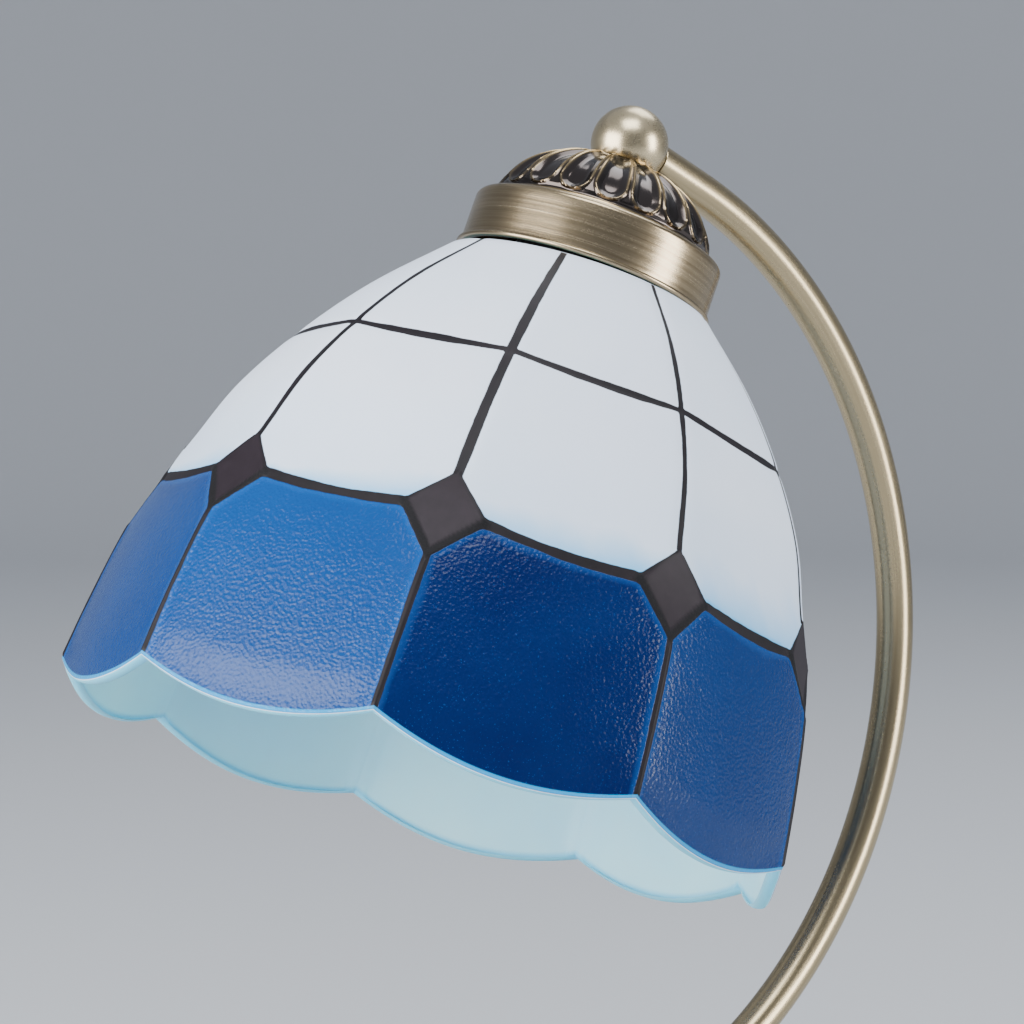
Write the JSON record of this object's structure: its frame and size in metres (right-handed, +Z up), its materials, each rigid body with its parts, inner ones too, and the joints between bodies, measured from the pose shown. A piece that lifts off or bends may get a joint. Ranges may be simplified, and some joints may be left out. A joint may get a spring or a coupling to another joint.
{
  "type": "table lamp",
  "caption": "Table lamp with a painted, scalloped, faceted glass shade hung from a curved brass tube arm on a round weighted base.",
  "frame": {"origin": "middle of the felt pad's underside, on the table, straight below both balls", "axes": "+Z up; +X towards the arm's bulge, with the shade's mouth leaning towards -X; +Y to the left seen from the mouth's side"},
  "size_m": [0.2558, 0.187, 0.328],
  "materials": {
    "antique_brass": "satin antique brass, brushed round the bands",
    "dark_brass": "cast brass with dark patina in the flutes and bright ridges",
    "bright_brass": "bright drawn brass",
    "painted_glass": "pressed frosted glass, hand-painted white, cobalt blue and dark lines",
    "steel": "zinc-plated steel",
    "cast_iron": "bare cast iron",
    "bakelite": "black phenolic",
    "porcelain": "white porcelain",
    "silicone": "translucent silicone",
    "felt": "dark wool felt",
    "bulb_glass": "frosted white glass",
    "aluminium": "rolled aluminium",
    "lead_sheath": "black flexible sheath"
  },
  "bodies": {
    "stand": {"upper_ball": "antique_brass", "arm_tube": "antique_brass", "lower_ball": "antique_brass", "base_dome": "dark_brass", "base_band": "antique_brass", "base_nipple": "steel", "base_washer": "steel", "base_nut": "steel", "base_shell": "antique_brass", "base_weight": "cast_iron", "base_plate": "steel", "base_screw_1": "steel", "base_screw_2": "steel", "base_screw_3": "steel", "felt_pad": "felt", "switch_body": "bakelite", "switch_bezel": "antique_brass", "outlet_bush": "bakelite", "inner_lead": "lead_sheath"},
    "head": {"glass_shade": "painted_glass", "cap_dome": "dark_brass", "cap_band": "antique_brass", "head_nipple": "steel", "cap_locknut": "steel", "holder_cap": "bakelite", "holder_body": "bakelite", "holder_insulator": "porcelain", "screw_shell": "bright_brass", "centre_contact": "bright_brass", "shade_washer": "silicone", "shade_ring": "bakelite"},
    "bulb_lift": {"bulb_contact": "aluminium"},
    "bulb": {"bulb_cap": "aluminium", "bulb_globe": "bulb_glass", "bulb_insulator": "bakelite"},
    "button": {"switch_button": "bright_brass"}
  },
  "joints": [
    {"name": "shade_swivel", "type": "hinge", "parent": "stand", "child": "head", "pos_m": [0, 0, 0.318], "axis": [0.3938, -0.0244, 0.9189], "range_deg": [-170, 170]},
    {"name": "bulb_travel", "type": "slide", "parent": "head", "child": "bulb_lift", "axis": [-0.3938, 0.0244, -0.9189], "range_m": [0, 0.0145]},
    {"name": "bulb_turn", "type": "hinge", "parent": "bulb_lift", "child": "bulb", "pos_m": [0, 0, 0.318], "axis": [-0.3938, 0.0244, -0.9189], "range_deg": [0, 1440]},
    {"name": "switch_press", "type": "slide", "parent": "stand", "child": "button", "axis": [0, 0, -1], "range_m": [0, 0.003], "stiffness_N_per_m": 400, "springref_m": -0.002}
  ],
  "couplings": [
    {"joint": "bulb_turn", "follows": "bulb_travel", "rad_per_m": 1731.4}
  ]
}
